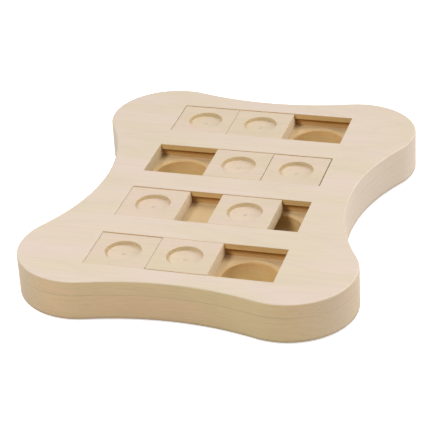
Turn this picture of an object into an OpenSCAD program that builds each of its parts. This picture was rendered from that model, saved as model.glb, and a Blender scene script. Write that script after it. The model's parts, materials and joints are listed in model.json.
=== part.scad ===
// Sliding-tile treat board for dogs.
//
// Two glued boards share one waisted outline. Four T-shaped grooves in the upper board hold two
// captive tiles each, and every groove runs over two round treat pockets in the lower board, one
// near each end. A dog slides the tiles aside, by a recess in each, to reach the treats.
//
// Millimetres, +Z up, X along the grooves, Y from the front to the back. The origin is under the
// middle of the outline, on the surface that the feet stand on.

/* [Outline] */
// Length from front to back, over the lobes
board_length = 334.4; // [320:0.2:350]
// Width from side to side, over the lobes
board_width = 268.6; // [255:0.2:290]
// Radius of the four corner lobes
lobe_radius = 52.7; // [46:0.1:58]
// Radius of the hollow in each long side
side_radius = 174; // [140:1:260]
// Radius of the hollow in the front and in the back
end_radius = 235; // [180:1:400]
// Rounding of the outer edges
edge_round = 1.4; // [0.4:0.1:2.5]

/* [Boards] */
// Thickness of the lower board, which has the treat pockets
base_thickness = 21.5; // [18:0.5:30]
// Thickness of the upper board, which has the grooves
top_thickness = 12; // [11:0.5:15]

/* [Grooves] */
// Length of a groove
groove_length = 150; // [141:0.5:159]
// Width of a groove's mouth, between its two lips
mouth_width = 48.5; // [44:0.5:52]
// Distance from one groove to the next
groove_pitch = 75.6; // [72:0.1:80]
// Thickness of the lips that keep the tiles in
lip_thickness = 4.8; // [3.6:0.1:5.6]
// How far the groove widens under each lip
undercut = 3; // [2:0.1:4]
// Bevel around a groove's mouth
mouth_bevel = 0.3; // [0.2:0.1:1]

/* [Tiles] */
// How much shorter a tile is than its parking place
tile_play = 1; // [0.5:0.1:3]
// Gap between a tile and each lip
lip_gap = 0.6; // [0.3:0.05:1]
// Gap between a tile's flange and each side of the groove
flange_gap = 0.7; // [0.4:0.05:1]
// Air under a tile
floor_gap = 0.2; // [0.1:0.05:0.5]
// Air between a tile's flange and the lips above it
lift_gap = 0.4; // [0.2:0.05:0.8]
// How far a tile's top lies below the upper board's face
tile_drop = 0.2; // [0:0.05:0.6]
// Rounding of a tile's upper edges
tile_round = 0.4; // [0.2:0.1:1.2]

/* [Tiles at rest] */
// Gap between the groove's left end and the tiles, in the back row
back_row_gap = 0.4; // [0.2:0.1:1]
// Gap between the tiles and the groove's right end, in the second row
second_row_gap = 0.8; // [0.2:0.1:1]
// Gap between the groove's left end and the left-hand tile, in the third row
third_row_gap = 0.2; // [0.2:0.1:1]
// Gap between the groove's left end and the tiles, in the front row
front_row_gap = 0.2; // [0.2:0.1:1]
// Gap between two tiles that are pushed together
pair_gap = 0.2; // [0.2:0.05:0.8]
// Gap between the two tiles of the second row
second_pair_gap = 0.5; // [0.2:0.05:0.8]
// Gap between the two tiles of the third row
third_row_opening = 27.4; // [10:0.2:36]
// How far a tile lies off its groove's middle line, as a share of the narrower gap beside it
tile_wander = 0.8; // [0:0.05:0.8]

/* [Finger recesses] */
// Diameter of the recess in a tile
finger_diameter = 28.6; // [22:0.2:36]
// Depth of the recess in a tile
finger_depth = 3.5; // [2:0.1:5]
// Bevel around the recess
finger_bevel = 0.3; // [0.1:0.1:0.8]

/* [Treat pockets] */
// Diameter of a treat pocket
pocket_diameter = 44; // [34:0.5:44.5]
// Depth of a treat pocket
pocket_depth = 12; // [11:0.5:15]
// Rounding between a pocket's wall and its floor
pocket_corner = 8.5; // [2:0.5:9]
// Bevel around a treat pocket
pocket_bevel = 1.7; // [0.4:0.1:1.8]

/* [Drill mark] */
// Diameter of the mark that the bit's point leaves in a finger recess
mark_diameter = 4; // [1:0.1:6]
// Depth of that mark
mark_depth = 0.8; // [0.4:0.1:1.5]

/* [Feet] */
// Diameter of a foot
foot_diameter = 20; // [12:0.5:30]
// Height of a foot
foot_height = 1.5; // [1:0.1:5]
// Bevel around a foot's lower edge
foot_bevel = 0.6; // [0.3:0.1:0.9]

/* [Hidden] */
// Names, numbered from the back row to the front row
$fn = 96;

LEFT = -1;
RIGHT = 1;
FRONT = -1;
BACK = 1;

rows = 4;
places = 3; // parking places in a groove, with a pocket under the first and the last
cut = 1; // how far a cutter runs past the face that it opens
arc_fn = 256; // fineness of the outline's long arcs

// Centres of the outline's arcs, which run into each other without a corner
lobe_x = board_width / 2 - lobe_radius;
lobe_y = board_length / 2 - lobe_radius;
side_centre = lobe_x + sqrt(pow(lobe_radius + side_radius, 2) - pow(lobe_y, 2));
end_centre = lobe_y + sqrt(pow(lobe_radius + end_radius, 2) - pow(lobe_x, 2));

// Height of the lower board's upper face, which the tiles slide on
groove_floor = foot_height + base_thickness;

// Tile
place_pitch = groove_length / places;
tile_length = place_pitch - tile_play;
tile_height = top_thickness - floor_gap - tile_drop;
tile_width = mouth_width - 2 * lip_gap;
flange_width = mouth_width + 2 * undercut - 2 * flange_gap;
flange_height = top_thickness - lip_thickness - floor_gap - lift_gap;

// Start of each row's two tiles, measured from the groove's left end
second_row_last = groove_length - second_row_gap - tile_length;
tile_starts = [
    [back_row_gap, back_row_gap + tile_length + pair_gap],
    [second_row_last - second_pair_gap - tile_length, second_row_last],
    [third_row_gap, third_row_gap + tile_length + third_row_opening],
    [front_row_gap, front_row_gap + tile_length + pair_gap],
];

// Which way each row's two tiles lie off the middle line, and by how much of the wander
tile_leans = [[FRONT, FRONT], [0.2 * FRONT, 0.9 * FRONT], [FRONT, 0.4 * FRONT], [FRONT, BACK]];
lean_reach = tile_wander * min(lip_gap, flange_gap);

// Middle of a row, counted from 1 at the back
function row_y(row) = ((rows + 1) / 2 - row) * groove_pitch;

// ---------------------------------------------------------------- profiles

// Rectangle from the origin, with its far upper corner rounded.
module rolled_square(width, height, radius) {
    square([width, height - radius]);
    square([width - radius, height]);
    translate([width - radius, height - radius]) circle(radius);
}

// Rectangle that stands on the X axis, with both upper corners rounded.
module rolled_block(width, height, radius) {
    for (side = [0, 1]) mirror([side, 0]) rolled_square(width / 2, height, radius);
}

// Half-open slot of a given width that flares by a bevel where it leaves the face at the top.
module flared_slot(width, top) {
    half = width / 2;
    flare = mouth_bevel + cut;
    polygon([
        [-half, -cut], [half, -cut], [half, top - mouth_bevel], [half + flare, top + cut],
        [-half - flare, top + cut], [-half, top - mouth_bevel],
    ]);
}

// ---------------------------------------------------------------- shared solids

// What the bit takes out for a finger recess: a flat-bottomed hole with its mouth at z = 0, a
// bevel around it, and the mark of the bit's point in its floor.
module finger_recess() {
    radius = finger_diameter / 2;
    rotate_extrude() polygon([
        [0, -finger_depth - mark_depth], [mark_diameter / 2, -finger_depth],
        [radius, -finger_depth], [radius, -finger_bevel],
        [radius + finger_bevel + cut, cut], [0, cut],
    ]);
}

// What the cutter takes out for a treat pocket: a bowl with its mouth at z = 0 and a bevelled rim.
module treat_pocket() {
    radius = pocket_diameter / 2;
    rotate_extrude() {
        mirror([0, 1]) rolled_square(radius, pocket_depth, pocket_corner);
        polygon([
            [0, -pocket_bevel], [radius, -pocket_bevel], [radius + pocket_bevel + cut, cut], [0, cut],
        ]);
    }
}

// Moves its children by whole millimetres first and by the rest after that. Every number is kept
// to six digits, so a far centre stays exact enough for the arcs around it to run into each other.
module place_at(x, y) {
    translate([floor(x), floor(y), 0])
        translate([x - floor(x), y - floor(y), 0]) children();
}

// Disc with a rounded upper rim: one lobe of a board, about its own centre.
module lobe(thickness) {
    rotate_extrude($fn = arc_fn) rolled_square(lobe_radius, thickness, edge_round);
}

// What is turned out of a board along a hollow side, about the hollow's centre. It flares at the
// top by the rounding of the edge that it leaves.
module hollow(radius, thickness) {
    rotate_extrude($fn = arc_fn) {
        translate([0, -cut]) square([radius, thickness + 2 * cut]);
        difference() {
            translate([0, thickness - edge_round]) square([radius + edge_round, edge_round + cut]);
            translate([radius + edge_round, thickness - edge_round]) circle(edge_round);
        }
    }
}

// Board of the shared outline, from z = 0 up, with its upper outer edge rounded: the figure
// through the centres of all the arcs, less the hollow sides, with the lobes added. Each arc
// meets the next one on the line through their centres.
module waisted_board(thickness) {
    difference() {
        linear_extrude(thickness) polygon([
            [side_centre, 0], [lobe_x, lobe_y], [0, end_centre], [-lobe_x, lobe_y],
            [-side_centre, 0], [-lobe_x, -lobe_y], [0, -end_centre], [lobe_x, -lobe_y],
        ]);
        for (turn = [0, 180]) rotate(turn) {
            place_at(side_centre, 0) hollow(side_radius, thickness);
            place_at(0, end_centre) hollow(end_radius, thickness);
        }
    }
    for (side = [LEFT, RIGHT], end = [FRONT, BACK])
        place_at(side * lobe_x, end * lobe_y) lobe(thickness);
}

// Space that a groove takes out of the upper board: a T across it and a plain slot along it.
module groove() {
    intersection() {
        rotate([90, 0, 90]) translate([0, 0, -groove_length]) linear_extrude(2 * groove_length) {
            flared_slot(mouth_width, top_thickness);
            translate([-mouth_width / 2 - undercut, -cut])
                square([mouth_width + 2 * undercut, top_thickness - lip_thickness + cut]);
        }
        rotate([90, 0, 0]) translate([0, 0, -groove_length]) linear_extrude(2 * groove_length)
            flared_slot(groove_length, top_thickness);
    }
}

// ---------------------------------------------------------------- pieces

// Upper board, with the four grooves cut right through it.
module top_board() {
    color("#e8d9bd")
        translate([0, 0, groove_floor]) difference() {
            waisted_board(top_thickness);
            for (row = [1:rows]) translate([0, row_y(row), 0]) groove();
        }
}

// Lower board: the grooves' floor, with a treat pocket near both ends of each.
module base_board() {
    color("#dcc79f")
        difference() {
            translate([0, 0, groove_floor]) mirror([0, 0, 1]) waisted_board(base_thickness);
            for (row = [1:rows], side = [LEFT, RIGHT])
                translate([side * (places - 1) / 2 * place_pitch, row_y(row), groove_floor])
                    treat_pocket();
        }
}

// Sliding tile about the middle of its underside: flanged along both sides, with a finger recess.
module tile() {
    difference() {
        intersection() {
            rotate([90, 0, 90]) translate([0, 0, -tile_length]) linear_extrude(2 * tile_length) {
                rolled_block(tile_width, tile_height, tile_round);
                translate([-flange_width / 2, 0]) square([flange_width, flange_height]);
            }
            rotate([90, 0, 0]) translate([0, 0, -flange_width]) linear_extrude(2 * flange_width)
                rolled_block(tile_length, tile_height, tile_round);
        }
        translate([0, 0, tile_height]) finger_recess();
    }
}

// Tile at its place at rest. The column is 0 for a row's left-hand tile and 1 for its right-hand one.
module parked_tile(row, column) {
    start = tile_starts[row - 1][column];
    color("#ead9b8")
        translate([
            start + tile_length / 2 - groove_length / 2,
            row_y(row) + tile_leans[row - 1][column] * lean_reach,
            groove_floor + floor_gap,
        ]) tile();
}

// Rubber foot under one lobe.
module foot(end, side) {
    radius = foot_diameter / 2;
    color("#3a3836")
        translate([side * lobe_x, end * lobe_y, 0]) rotate_extrude() polygon([
            [0, 0], [radius - foot_bevel, 0], [radius, foot_bevel], [radius, foot_height],
            [0, foot_height],
        ]);
}

top_board();
base_board();
parked_tile(1, 0);  // row_1_left_tile
parked_tile(1, 1);  // row_1_right_tile
parked_tile(2, 0);  // row_2_left_tile
parked_tile(2, 1);  // row_2_right_tile
parked_tile(3, 0);  // row_3_left_tile
parked_tile(3, 1);  // row_3_right_tile
parked_tile(4, 0);  // row_4_left_tile
parked_tile(4, 1);  // row_4_right_tile
foot(FRONT, LEFT);  // front_left_foot
foot(FRONT, RIGHT);  // front_right_foot
foot(BACK, LEFT);  // back_left_foot
foot(BACK, RIGHT);  // back_right_foot
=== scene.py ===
"""Looks of a sliding-tile treat board for dogs.

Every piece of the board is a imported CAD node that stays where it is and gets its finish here:
pale wood that is figured in the solid, so that the grain runs through faces, edges and recesses
alike, and rubber for the feet. The file is laid out as a Blender add-on and is run as a script.
"""

import json
import math

import bpy
from bpy.props import FloatProperty, FloatVectorProperty, PointerProperty
from mathutils import Euler, Matrix, Vector


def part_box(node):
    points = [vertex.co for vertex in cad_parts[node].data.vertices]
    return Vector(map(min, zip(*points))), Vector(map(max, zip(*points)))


bl_info = {
    "name": "Sliding-tile treat board",
    "version": (1, 0, 0),
    "blender": (4, 5, 0),
    "location": "View3D > Sidebar > Treat Board",
    "description": "Finishes a wooden treat board with sliding tiles and sets a plain stage",
    "category": "Object",
}

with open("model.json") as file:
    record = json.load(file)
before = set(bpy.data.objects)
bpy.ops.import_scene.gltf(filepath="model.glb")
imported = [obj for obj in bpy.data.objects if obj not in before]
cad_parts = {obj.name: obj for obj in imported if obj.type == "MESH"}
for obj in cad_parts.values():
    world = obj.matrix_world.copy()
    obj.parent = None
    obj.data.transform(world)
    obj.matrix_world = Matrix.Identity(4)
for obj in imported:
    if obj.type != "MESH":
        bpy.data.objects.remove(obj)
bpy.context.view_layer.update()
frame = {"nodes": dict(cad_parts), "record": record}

MM = 0.001
NODES = frame["nodes"]
TILES = sorted(name for name in NODES if name.endswith("_tile"))
FEET = sorted(name for name in NODES if name.endswith("_foot"))
FACE_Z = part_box("top_board")[1].z
JOINT_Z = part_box("top_board")[0].z
UNDERSIDE_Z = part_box("base_board")[0].z

# Where each tool has cut, and where shade or light is painted. A fade is half the height over
# which one colour goes into the next.
GROOVED = (90 * MM, 148 * MM)  # the grooves lie within this reach along X and Y
LIP_THICKNESS = 4.8 * MM  # board over the tiles' flanges
SHARP_FADE = 0.2 * MM
UNDERCUT_SHADE_HEIGHT = 3.5 * MM  # over the groove's floor; painted shade darkens the undercut's wall above it, under the lip
UNDERCUT_SHADE_FADE = 2.0 * MM
POCKET_EDGE = 0.5 * MM  # depth at which a pocket's bevel takes over from the groove's floor
POCKET_SHADE = 6.0 * MM  # depth below which a pocket is darker: painted shade
POCKET_FADE = 3.5 * MM
PLANED_UNDER = 1.0 * MM  # height up to which the underside's finish reaches
RECESS_RADIUS = 14.3 * MM
RECESS_MARGIN = 0.2 * MM
RECESS_PAINTED_LIGHT = 1.04  # painted light: the floor of a recess is made paler than the planed face, against the shade it gets
POINT_MARK = (0.5 * MM, 2.2 * MM)  # radii between which the mark of the bit's point gives out
POINT_MARK_TONE = 0.82

# Steepness of a surface, as a part of its normal
LEVEL = (0.35, 0.90)  # along Z: from an upright surface to a level one
ENDS = (0.15, 1.0)  # along X: from a surface along the grain to one across it
GLUE_ENDS = (0.2, 0.9)  # the same for the glue line

# End grain, painted shade along the lower edge, and glue on the sides
FRONT_CORNERS = (-125 * MM, -85 * MM)  # places along Y between which the end grain changes
LOW_EDGE_SHADE = (0.6 * MM, 3.4 * MM)  # heights over the underside between which the painted shade gives out
LOW_EDGE_SHADE_TONE = 0.70
GLUE_LINE = (0.08 * MM, 0.60 * MM)  # distances from the joint between which the line gives out
GLUE_DEPTH = (0.20, 0.08)  # how much darker it is along the grain and in end grain

# Grains of the wood's figure: a size along the fibres, which run along X, and one across them
SWELLS = (260 * MM, 55 * MM)
WAVES = (50 * MM, 9 * MM)
PATCHES = (110 * MM, 34 * MM)
STREAKS = (60 * MM, 2.2 * MM)
FIBRES = (16 * MM, 0.55 * MM)
PORES = (4.5 * MM, 0.22 * MM)
GLUE_BREAKS = (30 * MM, 30 * MM)
SWELL_RISE = 40 * MM  # how far the growth rings climb and fall with the swells
WAVE_RISE = 1.6 * MM
LATE_WOOD_END = 0.86  # share of a ring at which its late wood is darkest
SIDE_FIGURE = 1.5  # how much stronger the figure is on upright surfaces

# The fine relief of a surface
WOOD_RELIEF = 0.06 * MM
FIBRE_DENT, PORE_DENT, MARK_DENT = 0.3, 0.6, 0.25  # shares of that relief
RUBBER_RELIEF = 0.08 * MM
RUBBER_SPECK = 0.6 * MM
PALE_SPECK = 1.8  # colour of the palest specks, next to the rubber's own

# Where in the timber each piece was cut, in metres
TOP_BOARD_CUT = (0.0, 0.0, 0.0)
BASE_BOARD_CUT = (0.31, 0.17, 0.05)
FIRST_TILE_CUT = (0.7, 0.0, 0.0)
NEXT_TILE_CUT = (0.37, 0.21, 0.013)

# Direction of each lamp from the board in degrees, its size in metres and its power in watts.
# Azimuth 0 is the front and 90 is the right.
LAMPS = {
    "lamp_front_left": {"azimuth": 330, "elevation": 46, "size": 0.5, "power": 17.0},
    "lamp_right": {"azimuth": 96, "elevation": 18, "size": 1.2, "power": 18.6},
    "lamp_back_right": {"azimuth": 150, "elevation": 60, "size": 1.2, "power": 11.8},
    "lamp_back_left": {"azimuth": 245, "elevation": 16, "size": 1.2, "power": 5.5},
}
LAMP_DISTANCE = 1.8  # from the middle of the board's face, in metres
FLOOR_REACH = 12.0  # from the board to the floor's edges, in metres
SENSOR_WIDTH = 36.0  # of the camera, in millimetres
CAMERA_SIGHT = (0.05, 20.0)  # nearest and farthest distance that it sees, in metres
WHITE = (1.0, 1.0, 1.0, 1.0)


# ---------------------------------------------------------------- settings


class WoodSettings(bpy.types.PropertyGroup):
    """The wood that the boards and the tiles are made of."""

    face_pink: FloatVectorProperty(
        name="Face, pink", description="Planed face of the wood where it leans to pink",
        subtype="COLOR", default=(0.820, 0.674, 0.562), min=0, max=1)
    face_yellow: FloatVectorProperty(
        name="Face, yellow", description="Planed face of the wood where it leans to yellow",
        subtype="COLOR", default=(0.788, 0.668, 0.506), min=0, max=1)
    side_tan: FloatVectorProperty(
        name="Side", description="Sanded side that runs along the grain",
        subtype="COLOR", default=(0.728, 0.520, 0.302), min=0, max=1)
    side_olive: FloatVectorProperty(
        name="Side, olive", description="The same side where it leans to olive",
        subtype="COLOR", default=(0.690, 0.532, 0.290), min=0, max=1)
    end_pale: FloatVectorProperty(
        name="Side, end grain", description="Sanded side that is cut across the grain",
        subtype="COLOR", default=(0.665, 0.552, 0.435), min=0, max=1)
    end_tan: FloatVectorProperty(
        name="Front end grain", description="End grain round the front corners, nearer the heart",
        subtype="COLOR", default=(0.635, 0.495, 0.340), min=0, max=1)
    lip_amber: FloatVectorProperty(
        name="Lip", description="Upper wall of a groove, polished by the router's heat",
        subtype="COLOR", default=(0.725, 0.482, 0.203), min=0, max=1)
    lip_end: FloatVectorProperty(
        name="Lip, end grain", description="Upper wall of a groove that is cut across the grain",
        subtype="COLOR", default=(0.640, 0.525, 0.340), min=0, max=1)
    # painted shade: the wall under a lip is darkened here for the shade that the lip casts
    undercut_shaded: FloatVectorProperty(
        name="Undercut", description="Wall of a groove under its lip, browned by the cutter",
        subtype="COLOR", default=(0.425, 0.198, 0.028), min=0, max=1)
    # painted shade: less of it down by the groove's floor, so the wall pales downward
    undercut_tan: FloatVectorProperty(
        name="Undercut, low", description="The same wall down by the groove's floor",
        subtype="COLOR", default=(0.605, 0.375, 0.152), min=0, max=1)
    floor_tan: FloatVectorProperty(
        name="Groove floor", description="Lower board where it is the floor of the grooves",
        subtype="COLOR", default=(0.745, 0.545, 0.300), min=0, max=1)
    pocket_tan: FloatVectorProperty(
        name="Pocket", description="Bevel and routed wall of a treat pocket",
        subtype="COLOR", default=(0.780, 0.540, 0.262), min=0, max=1)
    # painted shade: the colour deep in a pocket is darker for the shade there
    pocket_deep_shade: FloatVectorProperty(
        name="Pocket, deep", description="Rounded corner and floor of a treat pocket",
        subtype="COLOR", default=(0.590, 0.395, 0.155), min=0, max=1)
    tile_tone: FloatVectorProperty(
        name="Tile tone", description="How much of the boards' face colour a tile's face keeps",
        subtype="COLOR", default=(0.964, 0.944, 0.890), min=0, max=1)
    tile_end: FloatVectorProperty(
        name="Tile, end grain", description="Sawn end of a tile",
        subtype="COLOR", default=(0.783, 0.640, 0.458), min=0, max=1)
    bored_wall: FloatVectorProperty(
        name="Bored wall", description="Wall of a finger recess",
        subtype="COLOR", default=(0.690, 0.545, 0.325), min=0, max=1)
    ring_spacing: FloatProperty(
        name="Ring spacing", description="Distance from one growth ring to the next",
        subtype="DISTANCE", unit="LENGTH", default=0.0034, min=0.001, max=0.02)
    ring_depth: FloatProperty(
        name="Ring depth", description="How much darker late wood is",
        subtype="FACTOR", default=0.038, min=0, max=1)
    fibre_depth: FloatProperty(
        name="Fibre depth", description="How much darker the darkest fibres are",
        subtype="FACTOR", default=0.06, min=0, max=1)
    pore_depth: FloatProperty(
        name="Pore depth", description="How much darker the pores are",
        subtype="FACTOR", default=0.06, min=0, max=1)
    tool_mark_depth: FloatProperty(
        name="Tool mark depth", description="How much darker the hollows of the tool marks are",
        subtype="FACTOR", default=0.02, min=0, max=1)
    tool_mark_spacing: FloatProperty(
        name="Tool mark spacing", description="Distance between the rings of a turning bit",
        subtype="DISTANCE", unit="LENGTH", default=0.0011, min=0.0003, max=0.005)
    roughness: FloatProperty(
        name="Roughness", description="Roughness of the sanded face",
        subtype="FACTOR", default=0.60, min=0, max=1)


class FootSettings(bpy.types.PropertyGroup):
    """The rubber feet."""

    rubber: FloatVectorProperty(
        name="Rubber", description="Colour of the rubber",
        subtype="COLOR", default=(0.045, 0.042, 0.040), min=0, max=1)


class StageSettings(bpy.types.PropertyGroup):
    """The camera, the room and the floor."""

    aim: FloatVectorProperty(
        name="Aim", description="Point on the board's face that the camera looks at",
        subtype="TRANSLATION", unit="LENGTH", default=(0.00581, -0.04966, FACE_Z))
    distance: FloatProperty(
        name="Distance", description="Distance from the camera to that point",
        subtype="DISTANCE", unit="LENGTH", default=1.42586, min=0.2, max=10)
    azimuth: FloatProperty(
        name="Azimuth", description="Turn of the camera to the right of the board's front",
        subtype="ANGLE", unit="ROTATION", default=math.radians(17.708))
    elevation: FloatProperty(
        name="Elevation", description="Height of the camera over the horizon",
        subtype="ANGLE", unit="ROTATION", default=math.radians(29.464))
    roll: FloatProperty(
        name="Roll", description="Turn of the camera about its own line of sight",
        subtype="ANGLE", unit="ROTATION", default=math.radians(-3.498))
    lens: FloatProperty(
        name="Lens", description="Focal length on a sensor 36 mm wide",
        subtype="DISTANCE_CAMERA", default=150.28, min=20, max=400)
    sky: FloatProperty(
        name="Room light", description="Strength of the light from all round",
        default=0.12, min=0, max=2)
    floor_grey: FloatProperty(
        name="Floor", description="How pale the floor is",
        subtype="FACTOR", default=0.80, min=0, max=1)
    floor_glow: FloatProperty(
        name="Floor glow", description="What the floor adds to show white to the camera",
        default=0.75, min=0, max=1)
    edge_shadow: FloatProperty(
        name="Edge shadow", description="How much of that glow goes close under the board's edge",
        subtype="FACTOR", default=0.20, min=0, max=1)
    edge_shadow_reach: FloatProperty(
        name="Edge shadow reach", description="Distance from the board at which it is all back",
        subtype="DISTANCE", unit="LENGTH", default=0.012, min=0.001, max=0.1)


class TreatBoardSettings(bpy.types.PropertyGroup):
    """All settings of the treat board."""

    wood: PointerProperty(type=WoodSettings)
    feet: PointerProperty(type=FootSettings)
    stage: PointerProperty(type=StageSettings)


# ---------------------------------------------------------------- nodes


def opaque(colour):
    return (*colour, 1.0)


class Shading:
    """A node tree, with short calls for the nodes that its users share."""

    def __init__(self, tree):
        self.tree = tree
        self.tree.nodes.clear()

    def node(self, kind, inputs, **settings):
        """A node with its settings, whose inputs take either a value or another node's socket."""
        made = self.tree.nodes.new("ShaderNode" + kind)
        for key, value in settings.items():
            setattr(made, key, value)
        for key, value in inputs.items():
            if isinstance(value, bpy.types.NodeSocket):
                self.tree.links.new(value, made.inputs[key])
            else:
                made.inputs[key].default_value = value
        return made

    def maths(self, operation, *values):
        inputs = dict(enumerate(values))
        return self.node("Math", inputs, operation=operation).outputs["Value"]

    def vector(self, operation, *values, output="Vector"):
        inputs = dict(enumerate(values))
        return self.node("VectorMath", inputs, operation=operation).outputs[output]

    def scaled(self, vector, factor):
        """A colour or a vector times a number."""
        inputs = {0: vector, "Scale": factor}
        return self.node("VectorMath", inputs, operation="SCALE").outputs["Vector"]

    def parts(self, vector):
        """The three numbers of a place or a direction."""
        return self.node("SeparateXYZ", {0: vector}).outputs

    def remap(self, value, ends, to_ends=(0.0, 1.0), curve="LINEAR"):
        """A value, from between two ends to between two others."""
        inputs = {
            "Value": value, "From Min": ends[0], "From Max": ends[1],
            "To Min": to_ends[0], "To Max": to_ends[1],
        }
        return self.node("MapRange", inputs, interpolation_type=curve, clamp=True).outputs[0]

    def ease(self, value, ends, to_ends=(0.0, 1.0)):
        """The same with a soft start and a soft stop."""
        return self.remap(value, ends, to_ends, "SMOOTHSTEP")

    def noise(self, vector, detail, roughness=0.5):
        inputs = {"Vector": vector, "Scale": 1.0, "Detail": detail, "Roughness": roughness}
        return self.node("TexNoise", inputs).outputs[0]

    def mix(self, factor, first, second):
        """Colour that goes from the first to the second. A mix node's colours are its inputs 6
        and 7 and its output 2."""
        inputs = {0: factor, 6: first, 7: second}
        return self.node("Mix", inputs, data_type="RGBA", blend_type="MIX").outputs[2]

    def seen_directly(self):
        """1 for rays from the camera, from a glossy surface and through a clear one."""
        path = self.node("LightPath", {}).outputs
        glossy = self.maths("MAXIMUM", path["Is Glossy Ray"], path["Is Transmission Ray"])
        return self.maths("MAXIMUM", path["Is Camera Ray"], glossy)


class Finish(Shading):
    """A material."""

    def __init__(self, name):
        self.material = bpy.data.materials.new(name)
        self.material.use_nodes = True
        super().__init__(self.material.node_tree)

    def finished(self, shader):
        """The material with this shader as its surface."""
        self.node("OutputMaterial", {"Surface": shader.outputs[0]})
        return self.material


# ---------------------------------------------------------------- wood


class Wood(Finish):
    """Pale sanded wood. Its figure is a solid one, moved by where in the timber the piece was cut,
    and its colours go by how a surface was worked, with painted shade and painted light where the
    boards and tiles use them."""

    def __init__(self, name, settings, cut, tone=(1.0, 1.0, 1.0)):
        super().__init__(name)
        self.settings = settings
        self.tone = tone
        self.own = self.node("TexCoord", {}).outputs["Object"]
        self.x, self.y, self.z = self.parts(self.own)
        self.timber = self.vector("ADD", self.own, cut)
        normal = self.parts(self.node("NewGeometry", {}).outputs["Normal"])
        self.across = self.maths("ABSOLUTE", normal[0])
        self.upright = self.ease(self.maths("ABSOLUTE", normal[2]), LEVEL, (1.0, 0.0))

    def grains(self, place, size, detail, roughness=0.5):
        """Noise from 0 to 1 with grains of one size along the fibres and one across them."""
        along, across = size
        place = self.vector("MULTIPLY", place, (1 / along, 1 / across, 1 / across))
        return self.noise(place, detail, roughness)

    def within(self, reach):
        """1 inside an upright block about the origin, 0 outside it, by its reach along X and Y."""
        in_x = self.maths("LESS_THAN", self.maths("ABSOLUTE", self.x), reach[0])
        in_y = self.maths("LESS_THAN", self.maths("ABSOLUTE", self.y), reach[1])
        return self.maths("MULTIPLY", in_x, in_y)

    def under(self, height, fade=SHARP_FADE):
        """1 under a height, 0 over it."""
        return self.remap(self.z, (height - fade, height + fade), (1.0, 0.0))

    def patchy(self, first, second):
        """Colour that leans from the first to the second in long soft patches."""
        patches = self.ease(self.grains(self.timber, PATCHES, detail=1.5), (0.35, 0.65))
        return self.mix(patches, first, second)

    def toned(self, colour):
        return opaque([part * keep for part, keep in zip(colour, self.tone)])

    def face(self):
        """Planed face."""
        settings = self.settings
        return self.patchy(self.toned(settings.face_pink), self.toned(settings.face_yellow))

    def ended(self, along, across):
        """Upright surface, from its colour along the grain to the one across it."""
        return self.mix(self.ease(self.across, ENDS), along, across)

    def sides(self):
        """Sanded side all round a board."""
        settings = self.settings
        along = self.patchy(opaque(settings.side_tan), opaque(settings.side_olive))
        front = self.ease(self.y, FRONT_CORNERS, (1.0, 0.0))
        across = self.mix(front, opaque(settings.end_pale), opaque(settings.end_tan))
        return self.ended(along, across)

    def shaded_low_edge(self, colour):
        """The colour, a little darker along the lower edge of the side: painted shade."""
        heights = [UNDERSIDE_Z + height for height in LOW_EDGE_SHADE]
        return self.scaled(colour, self.ease(self.z, heights, (LOW_EDGE_SHADE_TONE, 1.0)))

    def glued(self, colour, where=1.0):
        """The colour with the hairline where the two boards meet, by where that can show. It shows
        least in end grain, which drinks the glue."""
        away = self.maths("ABSOLUTE", self.maths("SUBTRACT", self.z, JOINT_Z))
        line = self.ease(away, GLUE_LINE, (1.0, 0.0))
        breaks = self.grains(self.own, GLUE_BREAKS, detail=3.0)
        line = self.maths("MULTIPLY", line, self.remap(breaks, (0.35, 0.60), (0.35, 1.0)))
        line = self.maths("MULTIPLY", line, self.remap(self.across, GLUE_ENDS, GLUE_DEPTH))
        line = self.maths("MULTIPLY", line, where)
        return self.scaled(colour, self.maths("SUBTRACT", 1.0, line))

    def tool_marks(self, bore):
        """Fine rings about a bit's axis, from 0 to 1, by the distance from that axis."""
        turn = self.maths("MULTIPLY", bore, 2 * math.pi / self.settings.tool_mark_spacing)
        return self.maths("MULTIPLY_ADD", self.maths("SINE", turn), 0.5, 0.5)

    def growth_rings(self):
        """Late wood from 0 to 1. The rings lie nearly flat in the board and swell and dip slowly,
        so that a face cuts them in long tongues and an edge in lines along the board."""
        swell = self.grains(self.timber, SWELLS, detail=2.0)
        wave = self.grains(self.timber, WAVES, detail=3.0)
        height = self.parts(self.timber)[2]
        height = self.maths("MULTIPLY_ADD", swell, SWELL_RISE, height)
        height = self.maths("MULTIPLY_ADD", wave, WAVE_RISE, height)
        turn = self.maths("FRACT", self.maths("DIVIDE", height, self.settings.ring_spacing))
        rise = self.maths("POWER", turn, 3.0)
        fall = self.ease(turn, (LATE_WOOD_END, 1.0), (1.0, 0.0))
        return self.maths("MULTIPLY", rise, fall)

    def figured(self, colour, marks=0.0):
        """The whole finish: the colour with rings, fibres, pores and tool marks in it."""
        settings = self.settings
        fibres = self.grains(self.timber, FIBRES, detail=3.0, roughness=0.6)
        fibres = self.remap(fibres, (0.35, 0.70))
        streaks = self.remap(self.grains(self.timber, STREAKS, detail=2.0), (0.40, 0.70))
        pores = self.remap(self.grains(self.timber, PORES, detail=1.0), (0.66, 0.74))

        figure = self.maths("MULTIPLY", self.growth_rings(), settings.ring_depth)
        figure = self.maths("MULTIPLY_ADD", fibres, settings.fibre_depth / 2, figure)
        figure = self.maths("MULTIPLY_ADD", streaks, settings.fibre_depth / 2, figure)
        figure = self.maths("MULTIPLY_ADD", pores, settings.pore_depth, figure)
        stronger = self.remap(self.upright, (0.0, 1.0), (1.0, SIDE_FIGURE))
        figure = self.maths("MULTIPLY", figure, stronger)
        figure = self.maths("MULTIPLY_ADD", marks, settings.tool_mark_depth, figure)
        colour = self.scaled(colour, self.maths("SUBTRACT", 1.0, figure))

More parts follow.
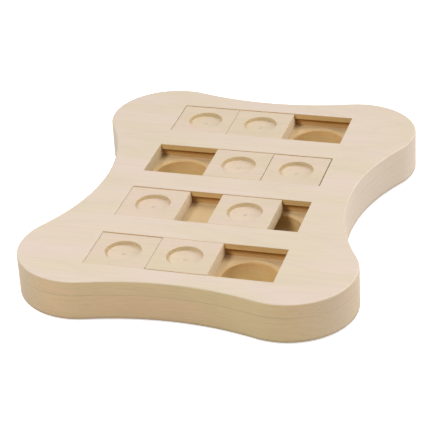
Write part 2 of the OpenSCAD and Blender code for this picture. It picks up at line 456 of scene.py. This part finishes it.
        relief = self.maths("MULTIPLY", fibres, -FIBRE_DENT)
        relief = self.maths("MULTIPLY_ADD", pores, -PORE_DENT, relief)
        relief = self.maths("MULTIPLY_ADD", marks, -MARK_DENT, relief)
        bump = self.node("Bump", {"Strength": 0.35, "Distance": WOOD_RELIEF, "Height": relief})
        duller = (settings.roughness - 0.05, settings.roughness + 0.08)
        return self.finished(self.node("BsdfPrincipled", {
            "Base Color": colour, "Roughness": self.remap(fibres, (0.0, 1.0), duller),
            "Normal": bump.outputs[0], "Specular IOR Level": 0.35,
        }))


def middle(name):
    """Middle of a CAD node's box at rest, in metres."""
    low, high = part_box(name)
    return (low + high) / 2


def opening_middles(ending):
    """Middles of the record's openings whose names end in a word, in metres."""
    openings = frame["record"]["physics"]["openings"]
    boxes = [opening["box_m"] for opening in openings if opening["name"].endswith(ending)]
    return [(Vector(low) + Vector(high)) / 2 for low, high in boxes]


def tile_bore(wood, name):
    """Distance from the axis of a tile's finger recess."""
    away = wood.vector("SUBTRACT", wood.own, middle(name))
    away = wood.vector("MULTIPLY", away, (1.0, 1.0, 0.0))
    return wood.vector("LENGTH", away, output="Value")


def pocket_bore(wood):
    """Distance from the axis of the nearest treat pocket. The pockets are mirrored to both sides
    and repeat from row to row."""
    pocket_x = opening_middles("right_pocket")[0].x
    rows = sorted({round(place.y, 5) for place in opening_middles("pocket")})
    pitch = rows[1] - rows[0]
    side = wood.maths("SUBTRACT", wood.maths("ABSOLUTE", wood.x), pocket_x)
    along = wood.maths("SUBTRACT", wood.y, rows[0] - pitch / 2)
    row = wood.maths("SUBTRACT", wood.maths("FLOORED_MODULO", along, pitch), pitch / 2)
    squares = wood.maths("MULTIPLY_ADD", row, row, wood.maths("MULTIPLY", side, side))
    return wood.maths("SQRT", squares)


def top_board_wood(settings):
    """Upper board: a planed face, sanded sides, and routed walls in the grooves, with painted
    shade under the lips.
    """
    wood = Wood("top_board_wood", settings, TOP_BOARD_CUT)
    # Painted shade: the undercut's wall is dark under the lip and paler down by the floor
    low = wood.under(JOINT_Z + UNDERCUT_SHADE_HEIGHT, UNDERCUT_SHADE_FADE)
    undercut = wood.mix(low, opaque(settings.undercut_shaded), opaque(settings.undercut_tan))
    walls = wood.mix(wood.under(FACE_Z - LIP_THICKNESS), opaque(settings.lip_amber), undercut)
    walls = wood.ended(walls, opaque(settings.lip_end))
    sides = wood.mix(wood.within(GROOVED), wood.sides(), walls)
    colour = wood.mix(wood.upright, wood.face(), sides)
    return wood.figured(wood.glued(colour))


def base_board_wood(settings):
    """Lower board: the grooves' floor with its pockets, sanded sides and a planed underside, with
    painted shade deep in the pockets and along the sides' lower edge.
    """
    wood = Wood("base_board_wood", settings, BASE_BOARD_CUT)
    face = wood.face()
    grooved = wood.within(GROOVED)
    sunk = wood.under(JOINT_Z - POCKET_EDGE)
    # Painted shade: a pocket goes darker with depth
    deep = wood.under(JOINT_Z - POCKET_SHADE, POCKET_FADE)
    pocket = wood.mix(deep, opaque(settings.pocket_tan), opaque(settings.pocket_deep_shade))
    inside = wood.mix(sunk, opaque(settings.floor_tan), pocket)
    inside = wood.mix(wood.under(UNDERSIDE_Z + PLANED_UNDER), inside, face)
    # Painted shade along the lower edge of the sides
    outside = wood.mix(wood.upright, face, wood.shaded_low_edge(wood.sides()))
    colour = wood.mix(grooved, outside, inside)
    colour = wood.glued(colour, wood.maths("SUBTRACT", 1.0, grooved))
    in_pocket = wood.maths("MULTIPLY", grooved, sunk)
    marks = wood.maths("MULTIPLY", wood.tool_marks(pocket_bore(wood)), in_pocket)
    return wood.figured(colour, marks)


def tile_wood(name, number, settings):
    """Tile: a planed face, sanded sides, sawn ends, and a bored finger recess whose floor has
    painted light.
    """
    cut = [first + step * number for first, step in zip(FIRST_TILE_CUT, NEXT_TILE_CUT)]
    wood = Wood(name + "_wood", settings, cut, settings.tile_tone)
    bore = tile_bore(wood, name)
    bored = wood.maths("LESS_THAN", bore, RECESS_RADIUS + RECESS_MARGIN)
    # Painted light: the recess floor is made paler against the shade that it gets
    face = wood.scaled(wood.face(), wood.remap(bored, (0.0, 1.0), (1.0, RECESS_PAINTED_LIGHT)))
    sides = wood.ended(opaque(settings.side_tan), opaque(settings.tile_end))
    sides = wood.mix(bored, sides, opaque(settings.bored_wall))
    colour = wood.mix(wood.upright, face, sides)
    colour = wood.scaled(colour, wood.ease(bore, POINT_MARK, (POINT_MARK_TONE, 1.0)))
    return wood.figured(colour, wood.maths("MULTIPLY", wood.tool_marks(bore), bored))


# ---------------------------------------------------------------- rubber


def foot_rubber(settings):
    """Matt moulded rubber with a fine grain."""
    rubber = Finish("foot_rubber")
    own = rubber.node("TexCoord", {}).outputs["Object"]
    specks = rubber.noise(rubber.scaled(own, 1 / RUBBER_SPECK), detail=3.0)
    pale = opaque([PALE_SPECK * part for part in settings.rubber])
    colour = rubber.mix(specks, opaque(settings.rubber), pale)
    bump = rubber.node("Bump", {"Strength": 0.3, "Distance": RUBBER_RELIEF, "Height": specks})
    roughness = rubber.remap(specks, (0.0, 1.0), (0.62, 0.82))
    return rubber.finished(rubber.node("BsdfPrincipled", {
        "Base Color": colour, "Roughness": roughness, "Normal": bump.outputs[0],
    }))


# ---------------------------------------------------------------- pieces


def dress(name, material):
    """Gives a CAD node its finish."""
    slots = NODES[name].data.materials
    slots.clear()
    slots.append(material)


class TREATBOARD_OT_finish_top_board(bpy.types.Operator):
    """Finish the upper board, which has the grooves"""

    bl_idname = "treatboard.finish_top_board"
    bl_label = "Finish Top Board"

    def execute(self, context):
        dress("top_board", top_board_wood(context.scene.treat_board.wood))
        return {"FINISHED"}


class TREATBOARD_OT_finish_base_board(bpy.types.Operator):
    """Finish the lower board, which has the treat pockets"""

    bl_idname = "treatboard.finish_base_board"
    bl_label = "Finish Base Board"

    def execute(self, context):
        dress("base_board", base_board_wood(context.scene.treat_board.wood))
        return {"FINISHED"}


class TREATBOARD_OT_finish_tiles(bpy.types.Operator):
    """Finish the eight sliding tiles, each cut from another place of the wood"""

    bl_idname = "treatboard.finish_tiles"
    bl_label = "Finish Tiles"

    def execute(self, context):
        for number, name in enumerate(TILES):
            dress(name, tile_wood(name, number, context.scene.treat_board.wood))
        return {"FINISHED"}


class TREATBOARD_OT_finish_feet(bpy.types.Operator):
    """Finish the four rubber feet"""

    bl_idname = "treatboard.finish_feet"
    bl_label = "Finish Feet"

    def execute(self, context):
        material = foot_rubber(context.scene.treat_board.feet)
        for name in FEET:
            dress(name, material)
        return {"FINISHED"}


# ---------------------------------------------------------------- stage


def placed(name, data, location, turn):
    """A camera or a lamp in the scene."""
    made = bpy.data.objects.new(name, data)
    made.location = location
    made.rotation_euler = turn.to_euler()
    bpy.context.scene.collection.objects.link(made)
    return made


def camera_at(settings):
    """The camera, by its direction from the point that it looks at."""
    data = bpy.data.cameras.new("camera")
    data.lens = settings.lens
    data.sensor_width = SENSOR_WIDTH
    data.clip_start, data.clip_end = CAMERA_SIGHT
    turn = Euler((math.pi / 2 - settings.elevation, 0.0, settings.azimuth)).to_matrix()
    turn = turn @ Matrix.Rotation(settings.roll, 3, "Z")
    back = turn @ Vector((0.0, 0.0, settings.distance))
    return placed("camera", data, Vector(settings.aim) + back, turn)


def softbox(name, azimuth, elevation, size, power):
    """A square lamp turned to the board, by its direction from the board."""
    data = bpy.data.lights.new(name, "AREA")
    data.shape = "SQUARE"
    data.size = size
    data.energy = power
    turn = Euler((math.radians(90 - elevation), 0.0, math.radians(azimuth))).to_matrix()
    back = turn @ Vector((0.0, 0.0, LAMP_DISTANCE))
    placed(name, data, Vector((0.0, 0.0, FACE_Z)) + back, turn).visible_camera = False


def pale_floor(settings):
    """A floor that shows white to the camera, and keeps the board's shadow, with painted shade as
    a dark line under its edge."""
    paint = Finish("floor_paint")
    diffuse = paint.node("BsdfDiffuse", {"Color": opaque([settings.floor_grey] * 3)})
    # Painted shade: the floor's glow dims close under the board's edge
    open_above = paint.node("AmbientOcclusion", {"Distance": settings.edge_shadow_reach})
    kept = paint.remap(open_above.outputs["AO"], (0.0, 1.0), (1 - settings.edge_shadow, 1.0))
    glow = paint.maths("MULTIPLY", paint.seen_directly(), settings.floor_glow)
    emission = paint.node("Emission", {"Strength": paint.maths("MULTIPLY", glow, kept)})
    both = paint.node("AddShader", {0: diffuse.outputs[0], 1: emission.outputs[0]})
    signs = ((-1, -1), (1, -1), (1, 1), (-1, 1))
    corners = [(FLOOR_REACH * x, FLOOR_REACH * y, 0.0) for x, y in signs]
    mesh = bpy.data.meshes.new("floor")
    mesh.from_pydata(corners, [], [(0, 1, 2, 3)])
    mesh.materials.append(paint.finished(both))
    floor = bpy.data.objects.new("floor", mesh)
    bpy.context.scene.collection.objects.link(floor)


def white_room(settings):
    """A world that shows white and lights the board at a plain level."""
    world = bpy.data.worlds.new("room")
    bpy.context.scene.world = world
    world.use_nodes = True
    room = Shading(world.node_tree)
    strength = room.remap(room.seen_directly(), (0.0, 1.0), (settings.sky, 1.0))
    background = room.node("Background", {"Color": WHITE, "Strength": strength})
    room.node("OutputWorld", {"Surface": background.outputs[0]})


class TREATBOARD_OT_set_stage(bpy.types.Operator):
    """Set the camera, the lamps, the floor and the room"""

    bl_idname = "treatboard.set_stage"
    bl_label = "Set Stage"

    def execute(self, context):
        settings = context.scene.treat_board.stage
        context.scene.view_settings.view_transform = "Standard"
        context.scene.camera = camera_at(settings)
        white_room(settings)
        pale_floor(settings)
        for name, lamp in LAMPS.items():
            softbox(name, **lamp)
        return {"FINISHED"}


# ---------------------------------------------------------------- panel


OPERATORS = (
    TREATBOARD_OT_finish_top_board,
    TREATBOARD_OT_finish_base_board,
    TREATBOARD_OT_finish_tiles,
    TREATBOARD_OT_finish_feet,
    TREATBOARD_OT_set_stage,
)


class TREATBOARD_PT_sidebar(bpy.types.Panel):
    """Lists the steps that finish the treat board, and its settings"""

    bl_idname = "TREATBOARD_PT_sidebar"
    bl_label = "Treat Board"
    bl_space_type = "VIEW_3D"
    bl_region_type = "UI"
    bl_category = "Treat Board"

    def draw(self, context):
        for operator in OPERATORS:
            self.layout.operator(operator.bl_idname)
        settings = context.scene.treat_board
        for group in (settings.wood, settings.feet, settings.stage):
            box = self.layout.box()
            for name in group.__annotations__:
                box.prop(group, name)


SETTINGS = (WoodSettings, FootSettings, StageSettings, TreatBoardSettings)
CLASSES = (*SETTINGS, *OPERATORS, TREATBOARD_PT_sidebar)


def register():
    for cls in CLASSES:
        bpy.utils.register_class(cls)
    bpy.types.Scene.treat_board = PointerProperty(type=TreatBoardSettings)


def unregister():
    del bpy.types.Scene.treat_board
    for cls in reversed(CLASSES):
        bpy.utils.unregister_class(cls)


def main():
    register()
    bpy.ops.treatboard.finish_top_board()
    bpy.ops.treatboard.finish_base_board()
    bpy.ops.treatboard.finish_tiles()
    bpy.ops.treatboard.finish_feet()
    bpy.ops.treatboard.set_stage()


if __name__ == "__main__":
    main()
